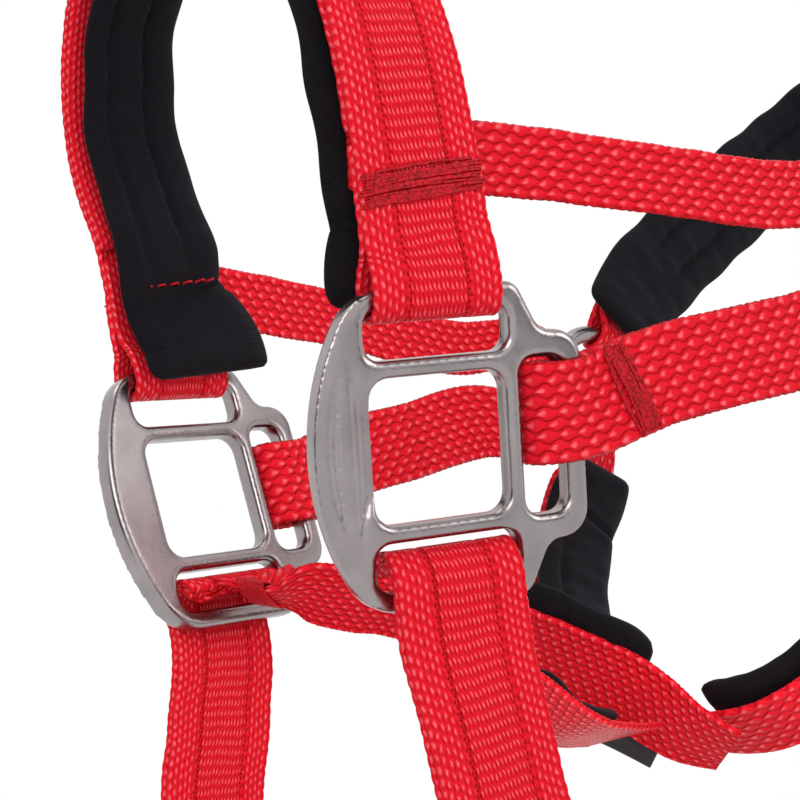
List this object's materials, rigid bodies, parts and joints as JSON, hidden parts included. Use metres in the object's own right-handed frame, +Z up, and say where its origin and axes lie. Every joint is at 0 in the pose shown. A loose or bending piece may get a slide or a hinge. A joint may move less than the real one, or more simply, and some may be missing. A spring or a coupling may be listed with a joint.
{
  "type": "head halter",
  "caption": "Padded head halter of red webbing with cast slotted nose fittings, cheek rings, a buckled crown, throat strap, jaw straps and a chin loop with a lead ring.",
  "frame": {"origin": "midway between the middles of the two nose fittings' windows", "axes": "+X to the back of the head, +Y to the far (right-hand) side, +Z up; the near side is at -Y"},
  "size_m": [0.3673, 0.1711, 0.3102],
  "materials": {
    "polished_steel": "polished, cast",
    "red_webbing": "woven nylon",
    "black_padding": "knit-faced foam",
    "dark_red_thread": "stitched thread",
    "black_label": "woven"
  },
  "bodies": {
    "straps": {"near_fitting": "polished_steel", "far_fitting": "polished_steel", "noseband_outer_layer": "red_webbing", "noseband_inner_layer": "red_webbing", "noseband_pad": "black_padding", "near_cheek_strap": "red_webbing", "far_cheek_strap": "red_webbing", "near_face_strap": "red_webbing", "far_face_strap": "red_webbing", "crown_strap": "red_webbing", "crown_pad": "black_padding", "crown_billet": "red_webbing", "buckle_frame": "polished_steel", "throat_strap": "red_webbing", "near_throat_pad": "black_padding", "far_throat_pad": "black_padding", "near_jaw_strap": "red_webbing", "far_jaw_strap": "red_webbing", "near_jaw_pad": "black_padding", "far_jaw_pad": "black_padding", "near_jaw_whipping": "dark_red_thread", "far_jaw_whipping": "dark_red_thread", "chin_loop_outer_layer": "red_webbing", "chin_loop_inner_layer": "red_webbing", "label": "black_label", "near_noseband_tack": "dark_red_thread", "far_noseband_tack": "dark_red_thread", "near_cheek_tack": "dark_red_thread", "far_cheek_tack": "dark_red_thread"},
    "near_ring": {"near_cheek_ring": "polished_steel"},
    "far_ring": {"far_cheek_ring": "polished_steel"},
    "lead_d": {"lead_ring": "polished_steel"},
    "tongue": {"buckle_tongue": "polished_steel"},
    "roller": {"buckle_roller": "polished_steel"},
    "keeper": {"crown_keeper": "red_webbing"}
  },
  "joints": [
    {"name": "near_ring_spin", "type": "hinge", "parent": "straps", "child": "near_ring", "pos_m": [0.152, -0.078, 0.034], "axis": [-0.1217, -0.9912, -0.0523], "continuous": true},
    {"name": "far_ring_spin", "type": "hinge", "parent": "straps", "child": "far_ring", "pos_m": [0.159, 0.072, 0.022], "axis": [-0.1217, 0.9912, -0.0523], "continuous": true},
    {"name": "lead_ring_swing", "type": "hinge", "parent": "straps", "child": "lead_d", "pos_m": [0, 0.0034, -0.1267], "axis": [1, 0, 0], "range_deg": [-60, 60]},
    {"name": "tongue_play", "type": "hinge", "parent": "straps", "child": "tongue", "pos_m": [0.21814, -0.08108, 0.07272], "axis": [0.4713, 0, -0.882], "range_deg": [0, 6]},
    {"name": "roller_spin", "type": "hinge", "parent": "straps", "child": "roller", "pos_m": [0.23931, -0.08144, 0.08403], "axis": [0.4713, 0, -0.882], "continuous": true},
    {"name": "keeper_slide", "type": "slide", "parent": "straps", "child": "keeper", "axis": [0.8819, -0.0151, 0.4712], "range_m": [-0.005, 0.007]}
  ]
}
